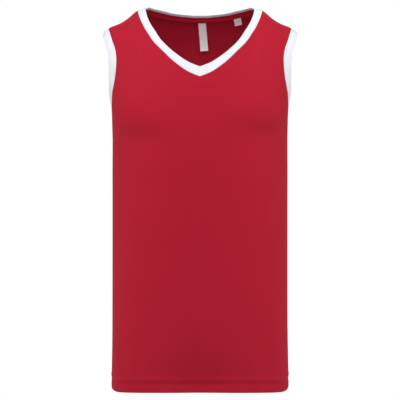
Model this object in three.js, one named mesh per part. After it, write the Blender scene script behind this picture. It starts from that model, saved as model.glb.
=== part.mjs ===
// A sleeveless V-neck basketball jersey, in the hollow form that it takes when it is worn.
// Millimetres, +Z up, the front faces -Y and the wearer's left is +X. The origin lies between the two
// shoulders, at the middle height of the shoulder seams, where the wearer's shoulders carry the jersey.
//
// A place on the cloth is a pattern point: x is the way round the body from the centre line to the side
// seam, and y is the way down the cloth from the crest of the shoulders. figure() wraps such a point on to
// a plain torso. Seams are drawn as they look from the front, in x and in the drop below the neck's
// highest point, and pattern() turns that into pattern points. Every piece is built from these.
import * as THREE from "three";

// ---- Driving dimensions ----
const LENGTH = 752;
const QUARTER_GIRTH = 250; // centre line to side seam
const SIDE_X = 172.7; // where the side seams hang
const ORIGIN_DROP = 25;
const PANEL_THICKNESS = 1.4;
const BAND_THICKNESS = 1.8; // two layers of knit
const TRIM_THICKNESS = 1; // tape and labels
const SEAM_GAP = 0.3;
const HEM_DEPTH = 25;
const HEM_TURN = 1.2; // what the turned-up layer adds to the panel
const ARMHOLE_BAND_WIDTH = 16;
const BAND_SHARE = 0.98; // the neck band ends this far towards its seam line, which leaves the seam gap
const YOKE_DROP = { centre: 240, side: 207 }; // the back's yoke line, which ends where the armholes begin

// How the front and the back turn over the shoulders. rise: how far below the crest each one reaches its
// full depth. roll: the cloth that bends over the crest before the rest runs down.
const TURN = {
  front: { rise: 300, roll: 70, outwards: -1 },
  back: { rise: 225, roll: 95, outwards: 1 },
};

// ---- The torso, level by level below the crest ----
// width: centre to side. front, back: centre to breast and to shoulder blades.
// square: exponent of the superellipse that the section follows, 2 being an ellipse.
const LEVELS = [
  { fall: -40, width: 236, front: 114, back: 121, square: 2.3 },
  { fall: 0, width: 226, front: 116, back: 122, square: 2.3 },
  { fall: 40, width: 214, front: 117, back: 123, square: 2.3 },
  { fall: 70, width: 199, front: 119, back: 123.5, square: 2.45 },
  { fall: 100, width: 186, front: 121, back: 124, square: 2.8 },
  { fall: 135, width: 177.5, front: 123, back: 124, square: 3.3 },
  { fall: 165, width: 173.5, front: 124, back: 123.5, square: 3.4 },
  { fall: 200, width: SIDE_X, front: 124, back: 123, square: 3.3 },
  { fall: 300, width: SIDE_X, front: 121, back: 119, square: 3 },
  { fall: 450, width: SIDE_X, front: 117, back: 116, square: 3.1 },
  { fall: 720, width: SIDE_X, front: 115, back: 116, square: 4 },
];
// The crest of the neck and shoulders, where the front turns over to the back.
const CREST = [
  { x: 0, drop: -22 },
  { x: 60, drop: -15 },
  { x: 98, drop: -3.5 },
  { x: 107, drop: 0.8 },
  { x: 122, drop: 4 },
  { x: 130, drop: 10 },
  { x: 142, drop: 20.5 },
  { x: 158, drop: 30.5 },
  { x: 175, drop: 37.5 },
  { x: 190, drop: 45 },
  { x: 215, drop: 60 },
];

// ---- Seams, from the front; each begins or ends where it crosses the crest or the side ----
const NECK_X = { seam: 123.5, edge: 107 };
const SHOULDER_TIP_X = 182;
const FRONT_NECK_SEAM = [
  { x: 0, drop: 139 },
  { x: 25, drop: 128 },
  { x: 51, drop: 109 },
  { x: 72, drop: 89 },
  { x: 92, drop: 68.5 },
  { x: 105.5, drop: 48 },
  { x: 115.7, drop: 27.5 },
  { x: 121.5, drop: 12 },
];
const FRONT_NECK_EDGE = [
  { x: 0, drop: 119 },
  { x: 25, drop: 108.5 },
  { x: 52.5, drop: 89 },
  { x: 74, drop: 69 },
  { x: 88, drop: 48.5 },
  { x: 100, drop: 28 },
  { x: 106, drop: 10 },
];
const BACK_NECK_SEAM = [
  { x: 0, drop: 21.5 },
  { x: 18, drop: 21.2 },
  { x: 45, drop: 18.8 },
  { x: 70, drop: 15.5 },
  { x: 92, drop: 11 },
  { x: 108, drop: 6.5 },
  { x: 119, drop: 4.6 },
];
const BACK_NECK_EDGE = [
  { x: 0, drop: 10 },
  { x: 16, drop: 9.8 },
  { x: 40, drop: 7.8 },
  { x: 60, drop: 5 },
  { x: 80, drop: 1.2 },
  { x: 94, drop: -1 },
  { x: 103, drop: -1 },
];
const FRONT_ARMHOLE_SEAM = [
  { x: 174, drop: 62 },
  { x: 167, drop: 82.5 },
  { x: 164.6, drop: 106 },
  { x: 166, drop: 128 },
  { x: 169, drop: 151 },
  { depth: 50, drop: 174 },
  { depth: 37, drop: 192 },
  { depth: 19, drop: 203.5 },
];
const BACK_ARMHOLE_SEAM = [
  { x: 175, drop: 62 },
  { x: 168.5, drop: 83 },
  { x: 166.5, drop: 108 },
  { x: 167.5, drop: 130 },
  { x: 169.6, drop: 152 },
  { depth: 52, drop: 175 },
  { depth: 38, drop: 192.5 },
  { depth: 20, drop: 203.5 },
];
// How far the armhole band stands off the torso, in degrees, from the shoulder (0) to the underarm (1).
const ARMHOLE_FLARE = [
  { share: 0, root: 8, curl: -62 },
  { share: 0.25, root: 14, curl: -22 },
  { share: 0.45, root: 21, curl: -8 },
  { share: 0.65, root: 5, curl: 0 },
  { share: 0.85, root: 3, curl: 0 },
  { share: 1, root: 6, curl: 0 },
];

// ---- What lies inside the back neck ----
const TAPE = { from: 0.36, to: 1.04, loft: 0.9 }; // shares of the way from the band's edge to its seam
const MAIN_LABEL = { x: 6.5, drop: 53, width: 15.6, length: 57, tilt: 5, loft: 0.9, hang: 3 };
const SIZE_LABEL = { x: 77, drop: 22.5, width: 14.5, length: 13, tilt: 14, loft: 1.2, hang: 0.5 };

// ---- Mesh fineness ----
const ARMHOLE_STEPS = 12; // shoulder to underarm
const NECK_STEPS = { front: ARMHOLE_STEPS, back: 10 }; // centre line to shoulder seam
const SHOULDER_STEPS = 4;
const COLUMNS = NECK_STEPS.back + SHOULDER_STEPS;
const SIDE_STEPS = 11; // hem to underarm
const BAND_STEPS = 3;
const LABEL_STEPS = { across: 2, down: 8 };

const quarterTurn = Math.PI / 2;
const mix = (a, b, share) => a.clone().lerp(b, share);

// A smooth curve through one column of a table, whose rows rise in the key column.
function smooth(table, key, column, at) {
  const last = table.length - 1;
  const after = table.findIndex((row) => row[key] > at);
  const i = after < 0 ? last - 1 : Math.max(after - 1, 0);
  const slope = (k) => {
    const before = table[Math.max(k - 1, 0)];
    const next = table[Math.min(k + 1, last)];
    return (next[column] - before[column]) / (next[key] - before[key]);
  };
  const span = table[i + 1][key] - table[i][key];
  const t = THREE.MathUtils.clamp((at - table[i][key]) / span, 0, 1);
  const rest = 1 - t;
  return (
    table[i][column] * rest * rest * (1 + 2 * t) +
    table[i + 1][column] * t * t * (3 - 2 * t) +
    (slope(i) * rest - slope(i + 1) * t) * span * t * rest
  );
}
const level = (fall, column) => smooth(LEVELS, "fall", column, fall);
const crest = (x) => smooth(CREST, "x", "drop", Math.abs(x));

// How deep the front or back stands at a level, as a share of its full depth.
function reachAt(side, fall) {
  return Math.sqrt(1 - (1 - Math.min(fall / TURN[side].rise, 1)) ** 3);
}

// The point of the torso that a pattern point lies on.
function figure(side, { x: across, y: down }) {
  const { roll, outwards } = TURN[side];
  const fall = down < roll ? down ** 2 / (2 * roll) : down - roll / 2;
  const angle = (across / QUARTER_GIRTH) * quarterTurn;
  const power = level(fall, "square");
  const sideways = Math.abs(Math.sin(angle)) / level(fall, "width");
  const forwards = Math.abs(Math.cos(angle)) / level(fall, side);
  const radius = (sideways ** power + forwards ** power) ** (-1 / power);
  const x = radius * Math.sin(angle);
  const depth = radius * Math.cos(angle) * reachAt(side, fall) * Math.sign(down);
  return new THREE.Vector3(x, outwards * (depth + SEAM_GAP / 2), ORIGIN_DROP - crest(x) - fall);
}

// The pattern point that lies at a drop below the neck's highest point and, as seen from the front, at x,
// or as seen from the side, at a depth from the side seam.
function pattern(side, { x, drop, depth }) {
  const { roll } = TURN[side];
  const fall = Math.max(drop - crest(x ?? SIDE_X), 0);
  const power = level(fall, "square");
  const width = level(fall, "width");
  const other = (share) => Math.max(1 - Math.abs(share) ** power, 0) ** (1 / power);
  const full = level(fall, side);
  const forwards = depth === undefined ? full * other(x / width) : depth / reachAt(side, fall);
  const sideways = x ?? width * other(forwards / full);
  const across = (Math.atan2(sideways, forwards) / quarterTurn) * QUARTER_GIRTH;
  const down = fall < roll / 2 ? Math.sqrt(2 * roll * fall) : fall + roll / 2;
  return new THREE.Vector2(across, down);
}

// The direction that the cloth faces at a pattern point.
function facing(side, point) {
  const step = 0.5;
  const slope = (x, y) => {
    const ahead = figure(side, { x: point.x + x, y: point.y + y });
    return ahead.sub(figure(side, { x: point.x - x, y: point.y - y }));
  };
  const across = slope(step, 0);
  return slope(0, step).cross(across).normalize().multiplyScalar(-TURN[side].outwards);
}
const under = (side, point, depth) =>
  figure(side, point).addScaledVector(facing(side, point), -depth);

// ---- Seam lines as pattern points ----
function seam(side, rows, first, last, steps) {
  const points = rows.map((row) => pattern(side, row));
  if (first) points.unshift(first);
  if (last) points.push(last);
  return new THREE.SplineCurve(points).getSpacedPoints(steps);
}
const onCrest = (side, x) => pattern(side, { x, drop: crest(x) });
const atSide = (side, drop) => pattern(side, { depth: 0, drop });

const NECK = {
  front: {
    seam: seam("front", FRONT_NECK_SEAM, null, onCrest("front", NECK_X.seam), NECK_STEPS.front),
    edge: seam("front", FRONT_NECK_EDGE, null, onCrest("front", NECK_X.edge), NECK_STEPS.front),
  },
  back: {
    seam: seam("back", BACK_NECK_SEAM, null, onCrest("back", NECK_X.seam), NECK_STEPS.back),
    edge: seam("back", BACK_NECK_EDGE, null, onCrest("back", NECK_X.edge), NECK_STEPS.back),
  },
};
const ARMHOLE = {
  front: seam(
    "front",
    FRONT_ARMHOLE_SEAM,
    onCrest("front", SHOULDER_TIP_X),
    atSide("front", YOKE_DROP.side),
    ARMHOLE_STEPS,
  ),
  back: seam(
    "back",
    BACK_ARMHOLE_SEAM,
    onCrest("back", SHOULDER_TIP_X),
    atSide("back", YOKE_DROP.side),
    ARMHOLE_STEPS,
  ),
};

// ---- Closed walls ----
// The closed wall that one or more grids of points make. Each grid has an outer and an inner layer with
// the same rows. Grids are joined where their outer points meet, and a rim closes every open edge.
function wall(grids) {
  const points = [];
  const numbers = new Map();
  const number = (outer, inner) => {
    const key = outer.toArray().map((value) => Math.round(value * 1000)).join();
    if (!numbers.has(key)) {
      numbers.set(key, points.length);
      points.push(outer, inner);
    }
    return numbers.get(key);
  };
  const faces = [];
  for (const { outer, inner } of grids) {
    const at = outer.map((row, r) => row.map((point, c) => number(point, inner[r][c])));
    for (let r = 1; r < at.length; r++) {
      for (let c = 1; c < at[r].length; c++) {
        const [low, high] = [at[r - 1], at[r]];
        faces.push([low[c - 1], low[c], high[c]], [low[c - 1], high[c], high[c - 1]]);
      }
    }
  }
  const edges = faces.flatMap(([a, b, c]) => [[a, b], [b, c], [c, a]]);
  const walked = new Set(edges.map((edge) => edge.join()));
  const index = faces.flatMap(([a, b, c]) => [a, b, c, a + 1, c + 1, b + 1]);
  for (const [from, to] of edges) {
    if (!walked.has([to, from].join())) index.push(to, from, from + 1, to, from + 1, to + 1);
  }
  return facingOut(points, index);
}

function facingOut(points, index) {
  let volume = 0;
  for (let i = 0; i < index.length; i += 3) {
    const [a, b, c] = [0, 1, 2].map((k) => points[index[i + k]]);
    volume += a.dot(b.clone().cross(c));
  }
  const turned = volume < 0 ? index.reverse() : index;
  return new THREE.BufferGeometry().setFromPoints(points).setIndex(turned);
}

// The same grid on the other side of the centre line.
const mirrored = (point) => new THREE.Vector3(-point.x, point.y, point.z);
const acrossCentre = (rows) => rows.map((row) => row.map(mirrored).reverse());
function bothSides(outer, inner) {
  return [
    { outer, inner },
    { outer: acrossCentre(outer), inner: acrossCentre(inner) },
  ];
}

// ---- Panels ----
// A grid of pattern points inside four edges, which share their corners.
function patch(bottom, top, left, right) {
  const columns = bottom.length - 1;
  const rows = left.length - 1;
  return left.map((leftPoint, r) => {
    const v = r / rows;
    return bottom.map((low, c) => {
      const u = c / columns;
      const corners = mix(mix(bottom[0], bottom[columns], u), mix(top[0], top[columns], u), v);
      return mix(low, top[c], v).add(mix(leftPoint, right[r], u)).sub(corners);
    });
  });
}
const line = (from, to, steps) => Array.from({ length: steps + 1 }, (_, i) => mix(from, to, i / steps));

// The level row of the half pattern at a drop.
function levelRow(side, drop) {
  return Array.from({ length: COLUMNS + 1 }, (_, c) => {
    const across = (c / COLUMNS) * QUARTER_GIRTH;
    const { x } = figure(side, { x: across, y: drop });
    return new THREE.Vector2(across, pattern(side, { x, drop }).y);
  });
}

// The half pattern's rows, from the hem up, each running from the centre line to the side. The front's
// upper rows start on the neck seam, and the back's on the centre line below its shallow neck.
function halfRows(side) {
  const neck = NECK[side].seam;
  const armhole = [...ARMHOLE[side]].reverse();
  const shoulder = (steps) =>
    Array.from({ length: steps + 1 }, (_, i) =>
      onCrest(side, THREE.MathUtils.lerp(NECK_X.seam, SHOULDER_TIP_X, i / steps)),
    );
  const isFront = side === "front";
  const yokeStart = isFront ? neck[0] : pattern(side, { x: 0, drop: YOKE_DROP.centre });
  const yoke = line(yokeStart, armhole[0], COLUMNS);
  const top = isFront ? shoulder(COLUMNS) : [...neck, ...shoulder(SHOULDER_STEPS).slice(1)];
  const left = isFront ? neck : line(yokeStart, neck[0], ARMHOLE_STEPS);
  const hemTop = LENGTH - HEM_DEPTH;
  const hem = [LENGTH, hemTop + HEM_TURN, hemTop - HEM_TURN].map((drop) => levelRow(side, drop));
  const lower = patch(
    hem[2],
    yoke,
    line(hem[2][0], yoke[0], SIDE_STEPS),
    line(hem[2][COLUMNS], yoke[COLUMNS], SIDE_STEPS),
  );
  return [...hem.slice(0, 2), ...lower, ...patch(yoke, top, left, armhole).slice(1)];
}

function panel(side) {
  const thickness = (row) => PANEL_THICKNESS + (row < 2 ? HEM_TURN : 0);
  const layer = (depth) =>
    halfRows(side).map((row, r) => row.map((point) => under(side, point, depth(r))));
  return wall(bothSides(layer(() => 0), layer(thickness)));
}

// ---- Neck band and tape ----
// A row of the neck band or its tape, between two shares of the way from the band's edge to its seam.
function neckRow(side, step, from, to, depth) {
  const { edge, seam: root } = NECK[side];
  return line(mix(edge[step], root[step], from), mix(edge[step], root[step], to), BAND_STEPS).map(
    (point) => under(side, point, depth),
  );
}

function neckBand() {
  const layer = (depth) => {
    const rows = (side) => NECK[side].seam.map((_, step) => neckRow(side, step, 0, BAND_SHARE, depth));
    return [...rows("front"), ...rows("back").reverse().slice(1)];
  };
  return wall(bothSides(layer(0), layer(BAND_THICKNESS)));
}

function neckTape() {
  const top = BAND_THICKNESS + TAPE.loft;
  const steps = NECK.back.seam.slice(0, NECK_STEPS.back);
  const layer = (depth) => steps.map((_, step) => neckRow("back", step, TAPE.from, TAPE.to, depth));
  return wall(bothSides(layer(top), layer(top + TRIM_THICKNESS)));
}

// ---- Armhole bands ----
function armholeBand(hand) {
  const places = (side) =>
    ARMHOLE[side].map((point, i) => ({ side, point, share: i / ARMHOLE_STEPS }));
  const ring = [...places("front"), ...places("back").slice(1, -1).reverse()];
  const roots = ring.map(({ side, point }) => figure(side, point));
  const middle = roots.reduce((total, root) => total.add(root), new THREE.Vector3());
  middle.divideScalar(roots.length);
  const outer = [];
  const inner = [];
  ring.forEach(({ side, point, share }, i) => {
    const root = roots[i];
    const along = roots[(i + 1) % roots.length].clone().sub(roots.at(i - 1)).normalize();
    const off = facing(side, point);
    const inwards = along.clone().cross(off).normalize();
    if (inwards.dot(middle.clone().sub(root)) < 0) inwards.negate();
    const start = smooth(ARMHOLE_FLARE, "share", "root", share);
    const curl = smooth(ARMHOLE_FLARE, "share", "curl", share);
    const step = ARMHOLE_BAND_WIDTH / BAND_STEPS;
    const place = root.clone().addScaledVector(inwards, SEAM_GAP);
    outer.push([place.clone()]);
    inner.push([place.clone().addScaledVector(off, -BAND_THICKNESS)]);
    for (let s = 1; s <= BAND_STEPS; s++) {
      const lean = THREE.MathUtils.degToRad(start + (curl * (s - 0.5)) / BAND_STEPS);
      const tilted = (ahead, up) =>
        inwards.clone().multiplyScalar(ahead).addScaledVector(off, up);
      place.addScaledVector(tilted(Math.cos(lean), Math.sin(lean)), step);
      const thickness = tilted(-Math.sin(lean), Math.cos(lean)).multiplyScalar(-BAND_THICKNESS);
      outer[i].push(place.clone());
      inner[i].push(place.clone().add(thickness));
    }
  });
  const whole = (rows) => [...rows, rows[0]];
  const turned = hand === "left" ? whole : (rows) => acrossCentre(whole(rows));
  return wall([{ outer: turned(outer), inner: turned(inner) }]);
}

// ---- Labels ----
// A label hangs against the inside of the back, and comes away from it towards its lower end.
function label({ x, drop, width, length, tilt, loft, hang }) {
  const turn = THREE.MathUtils.degToRad(tilt);
  const { across, down } = LABEL_STEPS;
  const layer = (depth) =>
    Array.from({ length: down + 1 }, (_, r) => {
      const downwards = (r / down - 0.5) * length;
      const away = PANEL_THICKNESS + loft + hang * (r / down) ** 2;
      return Array.from({ length: across + 1 }, (_, c) => {
        const sideways = (c / across - 0.5) * width;
        const seen = {
          x: x + sideways * Math.cos(turn) + downwards * Math.sin(turn),
          drop: drop - sideways * Math.sin(turn) + downwards * Math.cos(turn),
        };
        return under("back", pattern("back", seen), away + depth);
      });
    });
  return wall([{ outer: layer(0), inner: layer(TRIM_THICKNESS) }]);
}

// ---- The jersey ----
const redKnit = new THREE.MeshStandardMaterial({ color: 0xa81e2f, roughness: 0.75, metalness: 0 });
const whiteKnit = new THREE.MeshStandardMaterial({ color: 0xeef0f4, roughness: 0.8, metalness: 0 });
const satin = new THREE.MeshStandardMaterial({ color: 0xe6dcda, roughness: 0.45, metalness: 0 });

const jersey = new THREE.Group();
function add(name, geometry, material) {
  const mesh = new THREE.Mesh(geometry, material);
  mesh.name = name;
  jersey.add(mesh);
}
add("front_panel", panel("front"), redKnit);
add("back_panel", panel("back"), redKnit);
add("neck_band", neckBand(), whiteKnit);
add("armhole_band_left", armholeBand("left"), whiteKnit);
add("armhole_band_right", armholeBand("right"), whiteKnit);
add("neck_tape", neckTape(), redKnit);
add("main_label", label(MAIN_LABEL), satin);
add("size_label", label(SIZE_LABEL), satin);

export default jersey;
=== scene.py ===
# %% [markdown]
# # A V-neck basketball jersey with contrast bands
# The jersey is a front and a back panel of fine red knit, sewn together at the shoulders and sides. White
# rib bands finish the neck and the armholes, a tape covers the neck seam inside the back, and two bare
# satin labels hang there. It keeps the hollow form of the body that wears it. The imported model gives the
# frame: its box at rest is kept first, and the camera's height is taken from it.

import math

import bmesh
import bpy
import numpy as np
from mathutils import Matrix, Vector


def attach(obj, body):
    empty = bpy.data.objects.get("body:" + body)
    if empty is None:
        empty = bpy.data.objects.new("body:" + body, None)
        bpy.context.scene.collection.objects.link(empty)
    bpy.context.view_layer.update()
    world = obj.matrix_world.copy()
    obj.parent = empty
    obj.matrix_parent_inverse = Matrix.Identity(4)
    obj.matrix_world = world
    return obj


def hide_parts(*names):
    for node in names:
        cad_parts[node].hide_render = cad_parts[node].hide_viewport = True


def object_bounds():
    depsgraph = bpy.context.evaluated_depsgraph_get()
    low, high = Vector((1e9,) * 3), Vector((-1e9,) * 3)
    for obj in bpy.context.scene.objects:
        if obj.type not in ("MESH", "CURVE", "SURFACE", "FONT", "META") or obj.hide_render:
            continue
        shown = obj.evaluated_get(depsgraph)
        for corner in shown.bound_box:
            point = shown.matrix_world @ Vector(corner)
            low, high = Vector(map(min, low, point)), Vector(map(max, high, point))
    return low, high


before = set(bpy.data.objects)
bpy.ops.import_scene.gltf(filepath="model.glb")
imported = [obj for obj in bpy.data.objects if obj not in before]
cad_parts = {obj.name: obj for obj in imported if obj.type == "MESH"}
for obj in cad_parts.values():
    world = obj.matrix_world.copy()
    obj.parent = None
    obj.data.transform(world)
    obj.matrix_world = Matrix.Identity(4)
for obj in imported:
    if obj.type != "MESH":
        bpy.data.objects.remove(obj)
cad_low, cad_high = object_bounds()
print("nodes:", sorted(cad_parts))
print("box:", tuple(cad_low), tuple(cad_high))

# %% [markdown]
# ## Camera
# A garment is shot from far away with a long lens, so that its sides run parallel. The lens follows from
# the width of the shown strip and the distance, because a lens of L mm on a sensor of S mm shows a strip
# of S / L times the distance.

# %% Camera
CAMERA_DISTANCE = 6.0
SHOWN_WIDTH = 0.7898
SENSOR_MM = 36.0
EYE_BELOW_MIDDLE = 0.004

camera = bpy.data.objects.new("camera", bpy.data.cameras.new("camera"))
camera.data.sensor_width = SENSOR_MM
camera.data.lens = SENSOR_MM * CAMERA_DISTANCE / SHOWN_WIDTH
eye_height = (cad_low.z + cad_high.z) / 2 - EYE_BELOW_MIDDLE
camera.location = (0, -CAMERA_DISTANCE, eye_height)
camera.rotation_euler = (math.radians(90), 0, 0)
bpy.context.scene.collection.objects.link(camera)
bpy.context.scene.camera = camera
print("lens:", round(camera.data.lens, 1), "mm, eye height:", round(eye_height, 4))

# %% [markdown]
# ## Light
# Product light is large and soft. A wide panel near the top grazes the chest and lets the lower body fall
# off, which is what shows the drape. A smaller one in front of it opens the neck, one behind lights the back,
# and tall panels at the sides keep the sides as bright as the middle. Area lights are used because their
# size sets how soft the shadows are. An even glow from all round fills what the panels leave.

# %% Lights
LIGHT_AIM = (0.0, 0.0, -0.33)


def soft_panel(name, place, size, power, aim=LIGHT_AIM):
    """An area light of (width, height) that looks from its place to the aim."""
    panel = bpy.data.objects.new(name, bpy.data.lights.new(name, "AREA"))
    panel.data.shape = "RECTANGLE"
    panel.data.size, panel.data.size_y = size
    panel.data.energy = power
    panel.location = place
    away = panel.location - type(panel.location)(aim)
    panel.rotation_euler = away.to_track_quat("Z", "Y").to_euler()
    bpy.context.scene.collection.objects.link(panel)
    return panel


lights = [
    soft_panel("light_above", (0.0, -1.1, 1.5), (1.8, 1.0), 6.2),
    soft_panel("light_near_the_top", (0.0, -0.7, 0.9), (1.6, 0.6), 11),
    soft_panel("light_on_the_neck", (0.0, -2.0, 0.6), (0.8, 0.6), 9),
    soft_panel("light_behind", (0.0, 2.6, 0.5), (2.2, 1.6), 16),
]
for hand, sign in (("left", 1.0), ("right", -1.0)):
    lights += [
        soft_panel("light_front_" + hand, (1.5 * sign, -1.3, -0.5), (0.5, 1.2), 3.1),
        soft_panel("light_side_" + hand, (2.0 * sign, 0.0, -0.4), (0.8, 1.4), 6.0),
        soft_panel("light_back_" + hand, (2.0 * sign, 0.7, -0.4), (0.6, 1.4), 4.6),
    ]
bpy.context.scene.view_settings.view_transform = "Standard"
print("lights:", [(light.name, light.data.energy) for light in lights])

# %% Even light from all round
WORLD_STRENGTH = 0.35

world = bpy.data.worlds.new("studio")
world.use_nodes = True
background = world.node_tree.nodes["Background"]
background.inputs["Color"].default_value = (1.0, 1.0, 1.0, 1.0)
background.inputs["Strength"].default_value = WORLD_STRENGTH
bpy.context.scene.world = world
print("world strength:", WORLD_STRENGTH)

# %% [markdown]
# ## Shader maths
# A finish is easier to read as a formula than as a wall of nodes. `Wire` wraps a socket, and the usual
# operators on it add Math nodes. Every other node comes from `Finish.node`, which sets a node's settings
# first and then its sockets, each to a value or to a wire.


# %% Wires and finishes
class Wire:
    """The output of a shader node, as a number to reckon with."""

    def __init__(self, finish, socket):
        self.finish = finish
        self.socket = socket

    def math(self, operation, *values):
        inputs = dict(enumerate(values))
        return self.finish.node("ShaderNodeMath", {"operation": operation}, inputs)["Value"]

    def __add__(self, other):
        return self.math("ADD", self, other)

    def __mul__(self, other):
        return self.math("MULTIPLY", self, other)

    def __sub__(self, other):
        return self.math("SUBTRACT", self, other)

    def __rsub__(self, other):
        return self.math("SUBTRACT", other, self)

    def __truediv__(self, other):
        return self.math("DIVIDE", self, other)

    def __pow__(self, other):
        return self.math("POWER", self, other)

    def __abs__(self):
        return self.math("ABSOLUTE", self)

    __radd__ = __add__
    __rmul__ = __mul__

    def wave(self):
        """A wave from 0 to 1 that repeats when the value grows by 1."""
        return self.math("SINE", self * math.tau) * 0.5 + 0.5

    def fraction(self):
        return self.math("FRACT", self)


class Finish:
    """A material whose nodes are made by node()."""

    def __init__(self, name):
        self.material = bpy.data.materials.new(name)
        self.material.use_nodes = True
        self.tree = self.material.node_tree
        self.tree.nodes.clear()

    def node(self, kind, settings=(), inputs=()):
        made = self.tree.nodes.new(kind)
        for name, value in dict(settings).items():
            setattr(made, name, value)
        for key, value in dict(inputs).items():
            by_name = {socket.identifier: socket for socket in made.inputs}
            target = made.inputs[key] if isinstance(key, int) else by_name[key]
            if isinstance(value, Wire):
                self.tree.links.new(value.socket, target)
            else:
                target.default_value = value
        return {socket.identifier: Wire(self, socket) for socket in made.outputs}

    def mix(self, share, first, second):
        """Two colours mixed, each a wire or an RGB triple."""
        colours = [c if isinstance(c, Wire) else (*c, 1.0) for c in (first, second)]
        inputs = {"Factor_Float": share, "A_Color": colours[0], "B_Color": colours[1]}
        return self.node("ShaderNodeMix", {"data_type": "RGBA"}, inputs)["Result_Color"]

    def noise(self, scale, detail=2.0):
        """A cloudy value from 0 to 1 with so many clouds to the metre."""
        place = self.node("ShaderNodeTexCoord")["Object"]
        inputs = {"Vector": place, "Scale": scale, "Detail": detail}
        return self.node("ShaderNodeTexNoise", (), inputs)["Fac"]

    def cloth_place(self):
        """The place on the flat cloth, in metres across and down."""
        spot = self.node("ShaderNodeUVMap", {"uv_map": "cloth"})["UV"]
        parts = self.node("ShaderNodeSeparateXYZ", (), {"Vector": spot})
        return parts["X"], parts["Y"]

    def surface(self, colour, roughness, height, bump_distance, **constants):
        """Ends the tree in a Principled shader with a bumped surface."""
        bump = {"Height": height, "Distance": bump_distance, "Strength": 1.0}
        normal = self.node("ShaderNodeBump", (), bump)["Normal"]
        inputs = {"Base Color": colour, "Roughness": roughness, "Normal": normal}
        for name, value in constants.items():
            inputs[name.replace("_", " ")] = value
        return self.end(self.node("ShaderNodeBsdfPrincipled", (), inputs)["BSDF"])

    def end(self, shader):
        self.node("ShaderNodeOutputMaterial", (), {"Surface": shader})
        return self.material


# %% [markdown]
# ## Red knit
# The panels are a fine single-face knit: columns of small V-shaped loops, about a millimetre wide. From a
# few steps away they only soften the light, but close up they are what makes it cloth. The loops are a
# height pattern on the flat cloth's own coordinates, so they follow the panel round the body. The valleys
# between the loops get painted shade, a darker red, and slow clouds of noise keep the dye from looking
# printed.

# %% Red knit
WALE = 0.0011
COURSE = 0.0009
LOOP_SLANT = 0.9
KNIT_RELIEF = 0.00022
RED_LIGHT = (0.488, 0.0128, 0.0325)
# The darker red is painted shade for the valleys between the loops.
RED_GROOVE_SHADE = (0.374, 0.0088, 0.0238)
RED_FADED = (0.507, 0.0178, 0.0395)
SHEEN_TINT = (0.9, 0.12, 0.2, 1.0)


def loops(finish, wale, course):
    """The height of a plain knit: V-shaped loops in columns, from 0 to 1."""
    across, down = finish.cloth_place()
    leg = abs((across / wale).fraction() - 0.5)
    slanted = (down / course + leg * (2 * LOOP_SLANT)).wave()
    column = 1 - abs(leg * 4 - 1) ** 2
    return column * (slanted * 0.6 + 0.4)


def knit(name, light, deep, faded, roughness, **constants):
    finish = Finish(name)
    height = loops(finish, WALE, COURSE)
    clouds = finish.noise(9.0)
    worn = finish.noise(60.0, 3.0)
    # Painted shade: the colour darkens with the loops' height into their valleys, and clouds of noise vary
    # the dye.
    dye_and_groove_shade = finish.mix(clouds * 0.25, finish.mix(height, deep, light), faded)
    rough = roughness + worn * 0.08 - height * 0.05
    return finish.surface(dye_and_groove_shade, rough, height, KNIT_RELIEF, **constants)


red_knit = knit(
    "red_knit",
    RED_LIGHT,
    RED_GROOVE_SHADE,
    RED_FADED,
    roughness=0.66,
    Specular_IOR_Level=0.06,
    Sheen_Weight=0.02,
    Sheen_Tint=SHEEN_TINT,
)
print("made", red_knit.name)

# %% [markdown]
# ## White rib
# The bands are a doubled rib knit, which has fine upright cords across the band. The cords are waves along
# the band's length. The white is slightly cool, and the valleys of the rib get painted shade, a darker white.

# %% White rib
RIB = 0.0016
RIB_RELIEF = 0.0002
WHITE_LIGHT = (0.765, 0.775, 0.815)
# The darker white is painted shade for the valleys of the rib.
WHITE_GROOVE_SHADE = (0.68, 0.695, 0.74)


def rib(name, light, deep, roughness, **constants):
    finish = Finish(name)
    along, across = finish.cloth_place()
    cords = (along / RIB).wave()
    rows = (across / COURSE).wave()
    height = cords * 0.75 + cords * rows * 0.25
    clouds = finish.noise(25.0)
    # Painted shade: the colour darkens into the rib's valleys, with clouds of noise in the tone.
    dye_and_groove_shade = finish.mix(height * 0.8 + clouds * 0.2, deep, light)
    rough = roughness + clouds * 0.06
    return finish.surface(dye_and_groove_shade, rough, height, RIB_RELIEF, **constants)


white_rib = rib(
    "white_rib",
    WHITE_LIGHT,
    WHITE_GROOVE_SHADE,
    roughness=0.72,
    Specular_IOR_Level=0.2,
    Sheen_Weight=0.05,
    Sheen_Roughness=0.5,
)
print("made", white_rib.name)

# %% [markdown]
# ## Satin and thread
# A woven label is satin: long floats of bright yarn that lie across it and shine more than the knit. They
# are thin lines on the label's own coordinates, with painted shade between them. Thread is twisted, so its
# finish has slanted stripes, with painted shade in the grooves of the twist.

# %% Satin and thread
SATIN_FLOAT = 0.0003
SATIN_RELIEF = 0.00004
SATIN_LIGHT = (0.92, 0.86, 0.85)
# The darker satin is painted shade between the floats.
SATIN_GROOVE_SHADE = (0.84, 0.77, 0.76)
TWIST = 0.0004
THREAD_RELIEF = 0.00003


def satin(name):
    finish = Finish(name)
    across, down = finish.cloth_place()
    floats = (down / SATIN_FLOAT + (across / (SATIN_FLOAT * 5)).wave() * 0.5).wave()
    clouds = finish.noise(120.0)
    # Painted shade: the colour darkens between the floats, with clouds of noise in the tone.
    dye_and_groove_shade = finish.mix(floats * 0.6 + clouds * 0.4, SATIN_GROOVE_SHADE, SATIN_LIGHT)
    rough = 0.36 + clouds * 0.1
    return finish.surface(dye_and_groove_shade, rough, floats, SATIN_RELIEF, Specular_IOR_Level=0.4)


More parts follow.
